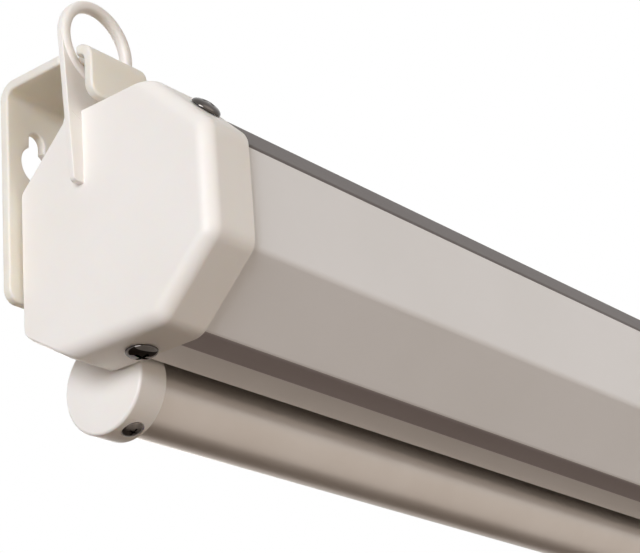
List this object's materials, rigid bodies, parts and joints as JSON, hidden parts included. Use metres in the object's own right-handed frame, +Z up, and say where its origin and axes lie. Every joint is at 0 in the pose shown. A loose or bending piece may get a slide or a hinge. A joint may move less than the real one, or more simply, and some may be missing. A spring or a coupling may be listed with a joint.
{
  "type": "pull down projector screen",
  "caption": "Wall-hung pull-down projection screen: slim eight-sided metal case with moulded end caps, hook brackets and hanging rings, sprung roller and round bottom bar.",
  "frame": {"origin": "on the wall face of the left bracket, on its centre line, between the keyhole and the screw", "axes": "+X along the case from the left end to the right end, +Y into the wall, +Z up"},
  "size_m": [1.7138, 0.076, 0.1559],
  "materials": {
    "case_paint": "semi-gloss",
    "cap_plastic": "satin",
    "bracket_plastic": "satin",
    "screw_chrome": "polished",
    "bar_metal": "satin",
    "inner_steel": "plain",
    "spring_steel": "oiled",
    "nylon": "plain",
    "screen_cloth": "matt white"
  },
  "bodies": {
    "case": {"case_shell": "case_paint", "end_cap_left": "cap_plastic", "end_cap_right": "cap_plastic", "cap_screw_top_left": "screw_chrome", "cap_screw_top_right": "screw_chrome", "cap_screw_bottom_left": "screw_chrome", "cap_screw_bottom_right": "screw_chrome", "wall_bracket_left": "bracket_plastic", "wall_bracket_right": "bracket_plastic", "bracket_screw_left": "inner_steel", "bracket_screw_right": "inner_steel", "spear_hanger": "inner_steel", "bush_hanger": "inner_steel", "bearing_bush": "nylon", "spring_arbor": "inner_steel", "ratchet_disc": "inner_steel", "torsion_spring": "spring_steel", "spring_anchor": "nylon"},
    "roller": {"roller_tube": "inner_steel", "roller_head": "nylon", "idler_plug": "nylon", "fabric_roll": "screen_cloth"},
    "pawl_one": {"pawl_1": "inner_steel"},
    "pawl_two": {"pawl_2": "inner_steel"},
    "bar": {"bar_tube": "bar_metal", "bar_cap_left": "cap_plastic", "bar_cap_right": "cap_plastic", "bar_cap_screw_left": "inner_steel", "bar_cap_screw_right": "inner_steel", "fabric_spline": "nylon", "hanging_fabric": "screen_cloth", "pull_eye": "cap_plastic"},
    "handle": {"pull_handle": "cap_plastic"}
  },
  "joints": [
    {"name": "bar_slide", "type": "slide", "parent": "case", "child": "bar", "axis": [0, 0, -1], "range_m": [0, 1.22], "deforming": ["hanging_fabric"]},
    {"name": "roller_turn", "type": "hinge", "parent": "case", "child": "roller", "pos_m": [0.8423, -0.03485, -0.007], "axis": [-1, 0, 0], "range_deg": [0, 4321]},
    {"name": "pawl_one_swing", "type": "hinge", "parent": "roller", "child": "pawl_one", "pos_m": [0.0073, -0.03485, 0.002], "axis": [-1, 0, 0], "range_deg": [0, 14]},
    {"name": "pawl_two_swing", "type": "hinge", "parent": "roller", "child": "pawl_two", "pos_m": [0.0073, -0.03485, -0.016], "axis": [-1, 0, 0], "range_deg": [0, 14]},
    {"name": "handle_swing", "type": "hinge", "parent": "bar", "child": "handle", "pos_m": [0.8423, -0.0154, -0.06715], "axis": [1, 0, 0], "range_deg": [-75, 25]}
  ],
  "couplings": [
    {"joint": "roller_turn", "follows": "bar_slide", "rad_per_m": 61.802}
  ]
}
